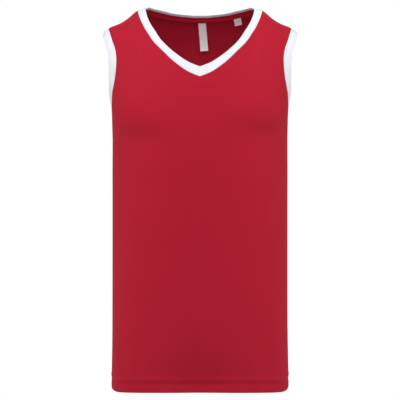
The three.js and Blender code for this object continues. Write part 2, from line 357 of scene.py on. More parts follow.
def thread(name, light, deep):
    finish = Finish(name)
    place = finish.node("ShaderNodeTexCoord")["Object"]
    parts = finish.node("ShaderNodeSeparateXYZ", (), {"Vector": place})
    twist = ((parts["X"] + parts["Y"] + parts["Z"]) / TWIST).wave()
    # Painted shade: the colour darkens in the grooves of the twist.
    dye_and_groove_shade = finish.mix(twist, deep, light)
    rough = 0.5 + twist * 0.1
    return finish.surface(dye_and_groove_shade, rough, twist, THREAD_RELIEF, Specular_IOR_Level=0.25)


label_satin = satin("label_satin")
# Each thread's second colour is painted shade for the grooves of its twist.
red_thread = thread("red_thread", (0.50, 0.012, 0.040), (0.36, 0.006, 0.026))
white_thread = thread("white_thread", (0.84, 0.86, 0.90), (0.70, 0.72, 0.76))
print("made", label_satin.name, red_thread.name, white_thread.name)

# %% [markdown]
# ## The torso
# The cloth is drafted flat and wrapped round a plain torso. A pattern point is (across, down) in
# millimetres: across runs from the centre line round to the side seam, and down runs from the crest of the
# shoulders. The torso's sections are superellipses, whose sizes come from a table by level. The tables are
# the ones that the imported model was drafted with.

# %% Tables of the torso
MILLIMETRE = 0.001
LENGTH = 752.0
QUARTER_GIRTH = 250.0
SIDE_X = 172.7
ORIGIN_DROP = 25.0
RISE = {"front": 300.0, "back": 225.0}
ROLL = {"front": 70.0, "back": 95.0}
OUTWARDS = {"front": -1.0, "back": 1.0}
LEVELS = {
    "fall": (-40, 0, 40, 70, 100, 135, 165, 200, 300, 450, 720),
    "width": (236, 226, 214, 199, 186, 177.5, 173.5, SIDE_X, SIDE_X, SIDE_X, SIDE_X),
    "front": (114, 116, 117, 119, 121, 123, 124, 124, 121, 117, 115),
    "back": (121, 122, 123, 123.5, 124, 124, 123.5, 123, 119, 116, 116),
    "square": (2.3, 2.3, 2.3, 2.45, 2.8, 3.3, 3.4, 3.3, 3, 3.1, 4),
}
CREST = {
    "x": (0, 60, 98, 107, 122, 130, 142, 158, 175, 190, 215),
    "drop": (-22, -15, -3.5, 0.8, 4, 10, 20.5, 30.5, 37.5, 45, 60),
}


def smooth(keys, values, at):
    """A smooth curve through a table's column."""
    keys, values = np.asarray(keys, float), np.asarray(values, float)
    last = len(keys) - 1
    before = np.maximum(np.arange(last + 1) - 1, 0)
    after = np.minimum(np.arange(last + 1) + 1, last)
    slope = (values[after] - values[before]) / (keys[after] - keys[before])
    i = np.clip(np.searchsorted(keys, at, side="right") - 1, 0, last - 1)
    span = keys[i + 1] - keys[i]
    t = np.clip((at - keys[i]) / span, 0, 1)
    rest = 1 - t
    ends = values[i] * rest**2 * (1 + 2 * t) + values[i + 1] * t**2 * (3 - 2 * t)
    return ends + (slope[i] * rest - slope[i + 1] * t) * span * t * rest


def level(fall, column):
    return smooth(LEVELS["fall"], LEVELS[column], fall)


def crest(x):
    return smooth(CREST["x"], CREST["drop"], np.abs(x))


print("crest at the neck and the shoulder tip:", crest(107.0), crest(182.0))


# %% From the pattern to the torso, and back
def reach(side, fall):
    """How deep a side stands at a level, as a share of its full depth."""
    return np.sqrt(1 - (1 - np.minimum(fall / RISE[side], 1)) ** 3)


def figure(side, points):
    """The points of the torso, in millimetres, that pattern points lie on."""
    across, down = points[..., 0], points[..., 1]
    roll = ROLL[side]
    fall = np.where(down < roll, down**2 / (2 * roll), down - roll / 2)
    angle = across / QUARTER_GIRTH * (math.pi / 2)
    power = level(fall, "square")
    sideways = np.abs(np.sin(angle)) / level(fall, "width")
    forwards = np.abs(np.cos(angle)) / level(fall, side)
    radius = (sideways**power + forwards**power) ** (-1 / power)
    x = radius * np.sin(angle)
    depth = radius * np.cos(angle) * reach(side, fall) * np.sign(down)
    return np.stack([x, OUTWARDS[side] * depth, ORIGIN_DROP - crest(x) - fall], -1)


def pattern(side, drop, x=None, depth=None):
    """The pattern point at a drop and at x from the front, or at a depth from the side seam."""
    roll = ROLL[side]
    fall = np.maximum(drop - crest(SIDE_X if x is None else x), 0)
    power = level(fall, "square")
    width, full = level(fall, "width"), level(fall, side)
    if depth is None:
        forwards = full * np.maximum(1 - np.abs(x / width) ** power, 0) ** (1 / power)
        sideways = x
    else:
        forwards = depth / reach(side, fall)
        sideways = width * np.maximum(1 - np.abs(forwards / full) ** power, 0) ** (1 / power)
    across = np.arctan2(sideways, forwards) / (math.pi / 2) * QUARTER_GIRTH
    down = np.where(fall < roll / 2, np.sqrt(2 * roll * fall), fall + roll / 2)
    return np.stack(np.broadcast_arrays(across, down), -1).astype(float)


def facing(side, points):
    """The directions that the cloth faces at pattern points."""
    step = 0.5
    across = figure(side, points + (step, 0)) - figure(side, points - (step, 0))
    down = figure(side, points + (0, step)) - figure(side, points - (0, step))
    normal = np.cross(down, across) * -OUTWARDS[side]
    return normal / np.linalg.norm(normal, axis=-1, keepdims=True)


print("breast:", figure("front", np.array([0.0, 250.0])), "faces", facing("front", np.array([0.0, 250.0])))

# %% [markdown]
# ## Drape
# Knit that hangs from the shoulders is never a clean tube. It is full over the breast and the shoulder
# blades, falls in below them, and runs to the hem in long shallow waves. Such creases are soft and uneven,
# so they are listed one by one: mounds are round swellings, and folds run along a line. Each is a small move
# along the direction that the cloth faces, in the flat coordinates (across, drop).

# %% Mounds and folds
# Each mound: across, drop, half width, half height, lift.
MOUNDS = {
    "front": (
        (124, 208, 62, 40, 6.6),
        (-126, 213, 66, 43, 6.2),
        (144, 262, 50, 31, -4.6),
        (-148, 270, 54, 33, -4.8),
        (0, 112, 150, 46, -3.6),
        (2, 290, 40, 62, 1.4),
        (-6, 600, 112, 50, 3.6),
        (4, 735, 102, 44, -17.0),
        (158, 420, 40, 90, 0.8),
        (-160, 440, 38, 95, 0.9),
    ),
    "back": (
        (92, 165, 52, 62, 2.6),
        (-95, 170, 54, 60, 2.8),
        (0, 250, 38, 110, -2.2),
        (5, 470, 100, 80, -2.8),
        (0, 640, 130, 70, 1.8),
        (165, 400, 34, 110, 1.2),
        (-160, 420, 36, 100, 1.0),
    ),
}
# Each fold: from (across, drop), to (across, drop), half width, lift.
FOLDS = {
    "front": (
        (214, 248, 112, 241, 12, -2.0),
        (-216, 256, -110, 249, 13, -2.0),
        (-102, 312, -94, 430, 16, -0.9),
        (99, 306, 106, 420, 15, -0.8),
        (-86, 436, -60, 506, 9, -0.35),
        (30, 452, 44, 518, 10, -0.35),
        (-134, 560, -150, 730, 20, -1.1),
        (138, 575, 152, 728, 18, -1.0),
        (62, 640, 70, 738, 16, 0.7),
        (-58, 650, -66, 740, 15, 0.6),
        (222, 330, 226, 700, 12, -0.8),
        (-224, 350, -222, 710, 12, -0.8),
        (5, 143, 11, 152, 3.5, -0.55),
    ),
    "back": (
        (72, 270, 88, 700, 15, -1.7),
        (-70, 280, -92, 710, 16, -1.8),
        (36, 330, 30, 720, 13, 1.0),
        (-34, 350, -40, 715, 13, 0.9),
        (150, 300, 158, 725, 15, -1.4),
        (-152, 310, -160, 720, 16, -1.5),
        (226, 236, 150, 276, 9, -1.3),
        (-226, 238, -148, 282, 10, -1.3),
        (218, 330, 224, 690, 12, -0.9),
        (-220, 350, -216, 700, 12, -0.9),
    ),
}


# A fold snakes by a share of its half width, and fades towards its ends.
FOLD_BEND, FOLD_SNAKE = 0.25, 5
FOLD_FULL, FOLD_FADE = 0.25, 0.22


def bell(away, width):
    """1 at no distance, falling smoothly to 0 over about twice the width."""
    return np.exp(-((away / width) ** 2))


def mounds(side, across, drop):
    total = np.zeros_like(across)
    for middle, height, half_width, half_height, lift in MOUNDS[side]:
        away = ((across - middle) / half_width) ** 2 + ((drop - height) / half_height) ** 2
        total += lift * np.exp(-away)
    return total


def folds(side, across, drop):
    total = np.zeros_like(across)
    for start, top, end, bottom, half_width, lift in FOLDS[side]:
        run = np.array([end - start, bottom - top], float)
        length = np.linalg.norm(run)
        run /= length
        along = ((across - start) * run[0] + (drop - top) * run[1]) / length
        aside = (drop - top) * run[0] - (across - start) * run[1]
        bend = FOLD_BEND * half_width * np.sin(along * FOLD_SNAKE + start)
        taper = bell(np.clip(np.abs(along - 0.5) - FOLD_FULL, 0, None), FOLD_FADE)
        total += lift * taper * bell(aside - bend, half_width)
    return total


print("mounds and folds:", sum(map(len, MOUNDS.values())), sum(map(len, FOLDS.values())))

# %% [markdown]
# The hem is turned up and sewn, and the stitches pull it in. That makes a soft roll just above the sewn
# line and a valley at it, deeper in some places than in others. The hem also swings in and out a little.

# %% The hem's roll and swing
HEM_DEPTH = 25.0
# Each swelling of the hem: how high, the height over the fold where it lies, and its half width.
HEM_ROLL, HEM_ROLL_AT, HEM_ROLL_WIDTH = 1.5, 25.5, 4.5
HEM_VALLEY, HEM_VALLEY_AT, HEM_VALLEY_WIDTH = 1.3, 17.8, 4.0
HEM_FULL, HEM_FULL_AT, HEM_FULL_WIDTH = 0.5, 9.0, 6.0
SWING_DEPTH, SWING_HEIGHT = 1.6, 95.0
HEM_RISE, HEM_SAG = 7.0, 1.5
HEM_RISE_FROM, HEM_RISE_OVER = 168, 62
# How strongly the hem is drawn in, by across.
HEM_PULL = {
    "across": (-250, -200, -150, -105, -60, -10, 40, 90, 140, 190, 250),
    "front": (0.4, 0.5, 0.8, 1.1, 0.7, 1.2, 1.3, 0.8, 1.1, 0.7, 0.4),
    "back": (0.4, 0.8, 1.0, 0.6, 1.1, 0.8, 1.2, 0.7, 0.9, 0.6, 0.4),
}
HEM_SWING = {
    "across": (-250, -205, -160, -110, -62, -12, 34, 84, 130, 178, 222, 250),
    "front": (0.3, 1.0, 0.2, -0.9, 0.5, -0.7, 0.2, 0.7, -0.8, 0.5, 1.0, 0.3),
    "back": (0.3, -0.9, 0.8, 1.2, -0.8, 0.7, 1.3, -0.6, 0.9, -1.0, 0.6, 0.3),
}


def eased(share):
    """A share kept from 0 to 1 that starts and ends gently."""
    share = np.clip(share, 0, 1)
    return share**2 * (3 - 2 * share)


def hem_rise(across):
    """How far the hem rides up, in millimetres: it sags in the middle and rises to the side seams."""
    return (HEM_RISE + HEM_SAG) * eased((np.abs(across) - HEM_RISE_FROM) / HEM_RISE_OVER) - HEM_SAG


def hem(side, across, drop):
    height = LENGTH - hem_rise(across) - drop
    pull = smooth(HEM_PULL["across"], HEM_PULL[side], across)
    swing = smooth(HEM_SWING["across"], HEM_SWING[side], across)
    rolled = HEM_ROLL * bell(height - HEM_ROLL_AT, HEM_ROLL_WIDTH)
    valley = -HEM_VALLEY * bell(height - HEM_VALLEY_AT, HEM_VALLEY_WIDTH)
    full = HEM_FULL * bell(height - HEM_FULL_AT, HEM_FULL_WIDTH)
    return pull * (rolled + valley + full) + SWING_DEPTH * swing * bell(height, SWING_HEIGHT)


def drape(side, points, base):
    """How far the cloth stands off the torso, in millimetres."""
    across, drop = points[..., 0], ORIGIN_DROP - base[..., 2]
    return mounds(side, across, drop) + folds(side, across, drop) + hem(side, across, drop)


def place(side, points, depth=0.0):
    """The cloth's points in metres, a depth in millimetres under its face."""
    base = figure(side, points)
    lift = drape(side, points, base) - depth
    return (base + facing(side, points) * lift[..., None]) * MILLIMETRE


hem_middle = np.array([0.0, LENGTH])
print("the hem's middle stands off", drape("front", hem_middle, figure("front", hem_middle)), "mm")

# %% [markdown]
# ## Seam lines
# The seams are drawn as they look from the front: x and the drop below the neck's highest point. Under the
# arm they are drawn by depth and drop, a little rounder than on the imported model. A smooth curve through
# them on the flat pattern is then stepped evenly, because even steps make even faces.

# %% Tables of the seams
NECK_SEAM_X, NECK_EDGE_X, SHOULDER_TIP_X = 123.5, 107.0, 182.0
NECK_SEAM = {
    "front": ((0, 139), (25, 128), (51, 109), (72, 89), (92, 68.5), (105.5, 48), (115.7, 27.5), (121.5, 12)),
    "back": ((0, 21.5), (18, 21.2), (45, 18.8), (70, 15.5), (92, 11), (108, 6.5), (119, 4.6)),
}
NECK_EDGE = {
    "front": ((0, 119), (25, 108.5), (52.5, 89), (74, 69), (88, 48.5), (100, 28), (106, 10)),
    "back": ((0, 10), (16, 9.8), (40, 7.8), (60, 5), (80, 1.2), (94, -1), (103, -1)),
}
ARMHOLE_BY_X = {
    "front": ((174, 62), (167, 82.5), (164.6, 106), (166, 128), (169, 151)),
    "back": ((175, 62), (168.5, 83), (166.5, 108), (167.5, 130), (169.6, 152)),
}
ARMHOLE_BY_DEPTH = {
    "front": ((56.5, 169), (43, 189.5), (22.5, 203)),
    "back": ((60, 172), (45.5, 190.5), (24, 203)),
}
UNDERARM_DROP = 207.0
YOKE_CENTRE_DROP = 240.0
CURVE_STEPS = 40


def spaced(points, steps):
    """Evenly spaced points along a smooth curve through the given ones."""
    points = np.asarray(points, float)
    padded = np.vstack([points[:1], points, points[-1:]])
    slope = (padded[2:] - padded[:-2]) / 2
    t = np.linspace(0, 1, CURVE_STEPS, endpoint=False)[:, None]
    rest = 1 - t
    pieces = [
        points[i] * rest**2 * (1 + 2 * t)
        + points[i + 1] * t**2 * (3 - 2 * t)
        + (slope[i] * rest - slope[i + 1] * t) * t * rest
        for i in range(len(points) - 1)
    ]
    fine = np.vstack([*pieces, points[-1:]])
    walked = np.concatenate([[0], np.cumsum(np.linalg.norm(np.diff(fine, axis=0), axis=1))])
    at = np.linspace(0, walked[-1], steps + 1)
    return np.stack([np.interp(at, walked, fine[:, k]) for k in (0, 1)], -1)


def on_crest(side, x):
    return pattern(side, crest(x), x=x)


def neck_line(side, table, end_x, steps):
    points = [pattern(side, drop, x=x) for x, drop in table[side]]
    return spaced([*points, on_crest(side, end_x)], steps)


def armhole_line(side, steps):
    points = [pattern(side, drop, x=x) for x, drop in ARMHOLE_BY_X[side]]
    points += [pattern(side, drop, depth=depth) for depth, drop in ARMHOLE_BY_DEPTH[side]]
    tip, underarm = on_crest(side, SHOULDER_TIP_X), pattern(side, UNDERARM_DROP, depth=0.0)
    return spaced([tip, *points, underarm], steps)


ARMHOLE_STEPS = 64
NECK_STEPS = {"front": ARMHOLE_STEPS, "back": 48}
SHOULDER_STEPS = 16
COLUMNS = NECK_STEPS["back"] + SHOULDER_STEPS
neck_seam = {side: neck_line(side, NECK_SEAM, NECK_SEAM_X, NECK_STEPS[side]) for side in RISE}
neck_edge = {side: neck_line(side, NECK_EDGE, NECK_EDGE_X, NECK_STEPS[side]) for side in RISE}
armhole = {side: armhole_line(side, ARMHOLE_STEPS) for side in RISE}
print("armhole seam points:", len(armhole["front"]) * 2)

# %% [markdown]
# ## From grids to closed cloth
# A thin closed mesh behaves best: it has a real edge, it can be measured, and light can't leak through.
# `closed_cloth` joins an outer and an inner layer of the same grid and puts a rim on every open edge. The
# two mirrored halves of a panel are welded where their outer points meet.


# %% Meshes from grids
SHARP_ANGLE = 50.0
# Points in the same ten-thousandth of a millimetre are one point.
WELD_STEPS = 1e7


def make_piece(name, points, faces, cloth, material):
    """A mesh object from points in metres, faces, and the place on the flat cloth of every corner."""
    a, b, c, d = (points[faces[:, k]] for k in range(4))
    volume = (np.cross(b - a, c - a) * a).sum() + (np.cross(c - a, d - a) * a).sum()
    if volume < 0:
        faces, cloth = faces[:, ::-1], cloth[:, ::-1]
    mesh = bpy.data.meshes.new(name)
    mesh.from_pydata(points.tolist(), [], faces.tolist())
    mesh.uv_layers.new(name="cloth").data.foreach_set("uv", cloth.astype(np.float32).ravel())
    mesh.materials.append(material)
    mesh.shade_smooth()
    mesh.set_sharp_from_angle(angle=math.radians(SHARP_ANGLE))
    piece = bpy.data.objects.new(name, mesh)
    bpy.context.scene.collection.objects.link(piece)
    return piece


def grid_faces(numbers):
    """The four-sided faces of a grid of point numbers."""
    corners = (numbers[:-1, :-1], numbers[:-1, 1:], numbers[1:, 1:], numbers[1:, :-1])
    return np.stack(corners, -1).reshape(-1, 4)


def closed_cloth(name, grids, material):
    """A closed piece from grids of (outer, inner, cloth), joined where their outer points meet."""
    outer = np.vstack([grid[0].reshape(-1, 3) for grid in grids])
    inner = np.vstack([grid[1].reshape(-1, 3) for grid in grids])
    cloth = np.vstack([grid[2].reshape(-1, 2) for grid in grids])
    _, first, number = np.unique(np.round(outer * WELD_STEPS), axis=0, return_index=True, return_inverse=True)
    number = number.reshape(-1)
    count, start, faces = len(first), 0, []
    for grid in grids:
        rows, columns = grid[0].shape[:2]
        faces.append(grid_faces(number[start : start + rows * columns].reshape(rows, columns)))
        start += rows * columns
    for i, grid in enumerate(grids[1:], 1):
        faces[i] = faces[i][:, ::-1]
    top = np.vstack(faces)
    edges = np.vstack([top[:, [k, (k + 1) % 4]] for k in range(4)])
    walked = set(map(tuple, edges.tolist()))
    rim = np.array([edge for edge in edges.tolist() if (edge[1], edge[0]) not in walked])
    sides = np.stack([rim[:, 1], rim[:, 0], rim[:, 0] + count, rim[:, 1] + count], -1)
    every = np.vstack([top, top[:, ::-1] + count, sides])
    points = np.vstack([outer[first], inner[first]])
    return make_piece(name, points, every, np.vstack([cloth[first]] * 2)[every], material)


def ring_cloth(name, rows, ways, across, material):
    """A closed piece from outlines round a ring, at ways along the cloth and places across it."""
    count, points = rows.shape[:2]
    numbers = np.pad(np.arange(count * points).reshape(count, points), ((0, 1), (0, 1)), mode="wrap")
    cloth = np.stack(np.meshgrid(ways, across, indexing="ij"), -1).reshape(-1, 2)
    unrolled = np.arange(len(cloth)).reshape(count + 1, points + 1)
    return make_piece(name, rows.reshape(-1, 3), grid_faces(numbers), cloth[grid_faces(unrolled)], material)


def report(piece):
    faces = sum(len(face.vertices) - 2 for face in piece.data.polygons)
    area = sum(face.area for face in piece.data.polygons) / 2
    print(piece.name, "triangles:", faces, "cloth area:", round(area, 4), "m2")


# %% [markdown]
# ## Panels
# Each half panel is two patches: a lower one from the hem to the line where the armholes begin, and an
# upper one between the neck seam, the shoulder and the armhole. A patch blends its four edges, so the
# rows turn gradually from the level hem to the slope of the neck. The wall is 0.8 mm thick and about twice
# that in the hem, whose fold is round. Near every seam the cloth is drawn in, which leaves a fine groove.

# %% Patches and rows
KNIT = 0.8
HEM_KNIT = 1.7
SIDE_STEPS = 120
HEM_ROWS = 24
HEM_ROWS_FROM, HEM_ROWS_TO = 2.0, 37.0
FOLD_TURNS = (80.0, 55.0, 30.0, 0.0)


def line(start, end, steps):
    share = np.linspace(0, 1, steps + 1)[:, None]
    return start * (1 - share) + end * share


def patch(bottom, top, left, right):
    """Pattern points inside four edges that share their corners."""
    u = np.linspace(0, 1, len(bottom))[None, :, None]
    v = np.linspace(0, 1, len(left))[:, None, None]
    corners = (1 - v) * ((1 - u) * bottom[0] + u * bottom[-1]) + v * ((1 - u) * top[0] + u * top[-1])
    return (1 - v) * bottom + v * top + (1 - u) * left[:, None] + u * right[:, None] - corners


def level_row(side, drop):
    """The level row of the half pattern at a drop."""
    across = np.linspace(0, QUARTER_GIRTH, COLUMNS + 1)
    rough = figure(side, np.stack([across, np.full_like(across, drop)], -1))
    down = pattern(side, drop - hem_rise(across), x=rough[:, 0])[:, 1]
    return np.stack([across, down], -1)


def half_rows(side):
    """The half pattern's rows from the hem up, with each row's outer and inner depth."""
    turns = np.radians(FOLD_TURNS)
    fold = HEM_KNIT / 2
    heights = np.concatenate([fold * (1 - np.sin(turns)), np.linspace(HEM_ROWS_FROM, HEM_ROWS_TO, HEM_ROWS)])
    outer = np.zeros_like(heights)
    outer[: len(turns)] = fold * (1 - np.cos(turns))
    thick = np.where(heights < HEM_DEPTH, HEM_KNIT, KNIT)
    inner = thick - outer
    hem_rows = np.stack([level_row(side, LENGTH - height) for height in heights])
    neck, arm = neck_seam[side], armhole[side][::-1]
    start = neck[0] if side == "front" else pattern(side, YOKE_CENTRE_DROP, x=0.0)
    yoke = line(start, arm[0], COLUMNS)
    steps = COLUMNS if side == "front" else SHOULDER_STEPS
    shoulder = on_crest(side, np.linspace(NECK_SEAM_X, SHOULDER_TIP_X, steps + 1))
    top = shoulder if side == "front" else np.vstack([neck, shoulder[1:]])
    left = neck if side == "front" else line(start, neck[0], ARMHOLE_STEPS)
    last = hem_rows[-1]
    lower = patch(last, yoke, line(last[0], yoke[0], SIDE_STEPS), line(last[-1], yoke[-1], SIDE_STEPS))
    upper = patch(yoke, top, left, arm)
    rows = np.concatenate([hem_rows, lower[1:], upper[1:]])
    extra = len(rows) - len(heights)
    return rows, np.pad(outer, (0, extra)), np.pad(inner, (0, extra), constant_values=KNIT)


def near(points, curve, width):
    """1 on a curve, falling to 0 over about a width."""
    flat = points.reshape(-1, 1, 2)
    start, run = curve[:-1], np.diff(curve, axis=0)
    share = np.clip(((flat - start) * run).sum(-1) / (run**2).sum(-1), 0, 1)
    away = np.linalg.norm(flat - start - share[..., None] * run, axis=-1).min(1)
    return bell(away, width).reshape(points.shape[:-1])


SEAM_GROOVE = 0.9
SEAM_WIDTH = 2.2


def groove(side, points):
    """How far the seams draw the panel in, in millimetres."""
    sides = bell(QUARTER_GIRTH - points[..., 0], SEAM_WIDTH)
    crests = bell(points[..., 1], SEAM_WIDTH)
    bands = np.maximum(near(points, neck_seam[side], SEAM_WIDTH), near(points, armhole[side], SEAM_WIDTH))
    return SEAM_GROOVE * np.maximum(np.maximum(sides, crests), bands)


def panel(side):
    rows, outer_depth, inner_depth = half_rows(side)
    sewn = groove(side, rows)
    grids = []
    for hand in (1.0, -1.0):
        points = rows * (hand, 1.0)
        outer = place(side, points, outer_depth[:, None] + sewn)
        inner = place(side, points, inner_depth[:, None] + sewn)
        grids.append((outer, inner, points * MILLIMETRE))
    piece = closed_cloth(side + "_panel_knit", grids, red_knit)
    report(piece)
    return piece


front_panel = panel("front")
back_panel = panel("back")

# %% [markdown]
# ## How a band is folded
# A rib band is a strip folded in half along its length. Both raw edges are sewn to the panel and turned
# in under it, and the fold is the free edge. Seen from its end the strip is a flat U. The line below runs
# down the middle of the strip, as (way from the free edge, depth under the cloth's face), and the outline
# stands half the knit's thickness to either side of it.

# %% The folded strip's outline
BAND_WIDTH = 16.0
BAND_ALLOWANCE = 6.0
BAND_KNIT = 0.5
FOLD_AT, FOLD_RADIUS = (0.75, 0.72), 0.45


def strip_middle():
    bend = np.radians(np.linspace(100, 260, 7))
    turn = np.stack([FOLD_AT[0] + FOLD_RADIUS * np.cos(bend), FOLD_AT[1] - FOLD_RADIUS * np.sin(bend)], -1)
    raw_end = BAND_WIDTH + BAND_ALLOWANCE
    face = [(raw_end, 1.75), (19.0, 1.75), (17.0, 1.7), (16.2, 1.5), (15.75, 1.0), (15.2, 0.5), (14.4, 0.3)]
    face += [(12.5, 0.22), (10.0, 0.2), (7.0, 0.2), (4.5, 0.21), (2.5, 0.24), (1.4, 0.26)]
    back = [(1.6, 1.18), (3.0, 1.17), (6.0, 1.15), (10.0, 1.15), (13.0, 1.2), (15.0, 1.5), (16.2, 2.1)]
    back += [(17.5, 2.3), (19.5, 2.3), (raw_end, 2.3)]
    return np.array([*face, *turn, *back])


def outline(middle, thickness):
    """A closed outline round an open line."""
    run = np.gradient(middle, axis=0)
    run /= np.linalg.norm(run, axis=1, keepdims=True)
    aside = np.stack([-run[:, 1], run[:, 0]], -1) * thickness / 2
    return np.vstack([middle + aside, (middle - aside)[::-1]])


strip = outline(strip_middle(), BAND_KNIT)
strip_way = np.concatenate([[0], np.cumsum(np.linalg.norm(np.diff(strip, axis=0, append=strip[:1]), axis=1))])
print("outline points:", len(strip), "strip width:", round(strip_way[-1] / 2, 1), "mm")

# %% [markdown]
# ## Neck band
# The band follows the neck all the way round: down the front to the V, where its two halves meet in a
# point, and across the back. Every outline point keeps its own share of the way from the free edge to the
# seam, so the band narrows and widens with the drawn lines. Across the back the raw edges are trimmed, so
# that the tape can cover them.


# %% Neck band
TRIMMED = 0.3
TRIM_OVER = 3


def neck_stations():
    """Round the neck from the V: side, edge point, seam point and the share of allowance left."""
    front, back = NECK_STEPS["front"], NECK_STEPS["back"]
    half = [("front", neck_edge["front"][i], neck_seam["front"][i], 1.0) for i in range(front + 1)]
    for i in range(back - 1, -1, -1):
        left = TRIMMED + (1 - TRIMMED) * bell(back - i, TRIM_OVER)
        half.append(("back", neck_edge["back"][i], neck_seam["back"][i], left))
    other = [(side, edge * (-1, 1), seam * (-1, 1), left) for side, edge, seam, left in half[-2:0:-1]]
    return half + other


def around(places):
    """The distance walked round a ring of points and back to the first."""
    closed = np.array([*places, places[0]])
    return np.concatenate([[0], np.cumsum(np.linalg.norm(np.diff(closed, axis=0), axis=1))])


def neck_band():
    rows = []
    for side, edge, seam, left in neck_stations():
        under = np.clip(strip[:, 0] - BAND_WIDTH, 0, None)
        share = ((strip[:, 0] - under * (1 - left)) / BAND_WIDTH)[:, None]
        rows.append(place(side, edge * (1 - share) + seam * share, strip[:, 1]))
    walked = around([row[0] for row in rows])
    piece = ring_cloth("neck_band_rib", np.array(rows), walked, strip_way * MILLIMETRE, white_rib)
    report(piece)
    return piece, walked[-1]


neck_band_piece, neck_round = neck_band()
print("neck seam:", round(neck_round, 3), "m round")

# %% [markdown]
# ## Armhole bands
# These bands stand off the torso, because the shoulder falls away where the arm would come out. The table
# says how far, in degrees: at the shoulder the band first follows the slope and then turns down over the
# arm, at the front and back it leans out, and at the underarm it lies against the side.

# %% Armhole bands
FLARE = {
    "share": (0, 0.25, 0.45, 0.65, 0.85, 1),
    "root": (8, 14, 21, 5, 3, 6),
    "curl": (-62, -22, -8, 0, 0, 0),
}
BAND_PARTS = 64
RAW_EDGE_EASE = 1.5


def armhole_stations(hand):
    """Round the armhole: side, pattern point and share of the way from shoulder to underarm."""
    turn = np.array([hand, 1.0])
    front = [("front", point * turn, i / ARMHOLE_STEPS) for i, point in enumerate(armhole["front"])]
    back = [("back", point * turn, i / ARMHOLE_STEPS) for i, point in enumerate(armhole["back"])]
    return front + back[-2:0:-1]


def swept(rate, step):
    """The running total of a rate, from 0, with even steps between its points."""
    return np.concatenate([[0], np.cumsum((rate[1:] + rate[:-1]) / 2 * step)])


def band_line(root, inwards, off, share):
    """The outline of the strip at one station, swept out along the band's own lean."""
    fine = np.linspace(0, BAND_WIDTH, BAND_PARTS + 1)
    at_root = smooth(FLARE["share"], FLARE["root"], share)
    curl = smooth(FLARE["share"], FLARE["curl"], share)
    lean = np.radians(at_root + curl * fine / BAND_WIDTH)
    ahead = swept(np.cos(lean), BAND_WIDTH / BAND_PARTS)
    up = swept(np.sin(lean), BAND_WIDTH / BAND_PARTS)
    out = BAND_WIDTH - strip[:, 0]
    angle = np.interp(out, fine, lean)
    angle = np.where(out < 0, lean[0] * np.exp(out / RAW_EDGE_EASE), angle)
    at = np.stack([np.where(out < 0, out, np.interp(out, fine, ahead)), np.interp(out, fine, up)], -1)
    at = at + np.stack([np.sin(angle), -np.cos(angle)], -1) * strip[:, 1:]
    return root + (at[:, :1] * inwards + at[:, 1:] * off) * MILLIMETRE


def armhole_band(hand):
    stations = armhole_stations(1.0 if hand == "left" else -1.0)
    roots = np.array([place(side, point) for side, point, _ in stations])
    off = np.array([facing(side, point) for side, point, _ in stations])
    along = np.roll(roots, -1, axis=0) - np.roll(roots, 1, axis=0)
    along /= np.linalg.norm(along, axis=1, keepdims=True)
    inwards = np.cross(along, off)
    inwards *= np.sign(((roots.mean(0) - roots) * inwards).sum(1))[:, None]
    inwards /= np.linalg.norm(inwards, axis=1, keepdims=True)
    rows = [band_line(roots[i], inwards[i], off[i], station[2]) for i, station in enumerate(stations)]
    walked = around(roots)
    name = "armhole_band_" + hand + "_rib"
    piece = ring_cloth(name, np.array(rows), walked, strip_way * MILLIMETRE, white_rib)
    report(piece)
    return piece, walked[-1]


armhole_band_left, armhole_round = armhole_band("left")
armhole_band_right, _ = armhole_band("right")
print("armhole seam:", round(armhole_round, 3), "m round")

# %% [markdown]
# ## Neck tape
# A strip of the red knit is sewn over the seam inside the back neck, so that the seam doesn't rub. Its
# upper edge lies on the band and its lower edge just covers the turned-in seam.

# %% Neck tape
TAPE_FROM, TAPE_TO = 0.36, 1.16
TAPE_KNIT = 0.5
TAPE_COLUMNS = 10
TAPE_END = 44
TAPE_DEPTH, TAPE_DROP = 1.55, 1.15
TAPE_DROP_FROM, TAPE_DROP_OVER = 0.6, 0.36


def tape_depth(share):
    """How deep the tape lies: on the band first, and then over the turned-in edges."""
    return TAPE_DEPTH + TAPE_DROP * eased((share - TAPE_DROP_FROM) / TAPE_DROP_OVER)


def neck_points(shares, last):
    """Rows of pattern points from the back's centre outwards, at shares of the band's width."""
    edge, seam = (table["back"][: last + 1, None] for table in (neck_edge, neck_seam))
    return edge * (1 - shares[:, None]) + seam * shares[:, None]


def neck_tape():
    shares = np.linspace(TAPE_FROM, TAPE_TO, TAPE_COLUMNS + 1)
    depth = tape_depth(shares)
    grids = []
    for hand in (1.0, -1.0):
        points = neck_points(shares, TAPE_END) * (hand, 1.0)
        outer = place("back", points, depth)
        inner = place("back", points, depth + TAPE_KNIT)
        grids.append((outer, inner, points * MILLIMETRE))
    piece = closed_cloth("neck_tape_knit", grids, red_knit)
    report(piece)
    return piece


neck_tape_piece = neck_tape()

# %% [markdown]
# ## Labels
# Two satin labels hang from the seam under the tape: a long narrow one near the centre and a small square
# one beside it. They are left bare. Each hangs free, so it leans a little, leaves the cloth towards its
# lower end and curls across.

# %% Labels
LABEL_SATIN = 0.3
PANEL_BACK = 1.4
LABEL_CURL, LABEL_RIPPLE = 0.5, 0.25
LABEL_COLUMNS = ("x", "drop", "width", "length", "tilt", "loft", "hang", "tuck")
MAIN_LABEL = dict(zip(LABEL_COLUMNS, (6.5, 51.3, 15.6, 54, 5, 0.9, 3, 4)))
SIZE_LABEL = dict(zip(LABEL_COLUMNS, (77, 21.5, 14.5, 12.5, 14, 2.1, 0.5, 0.5)))


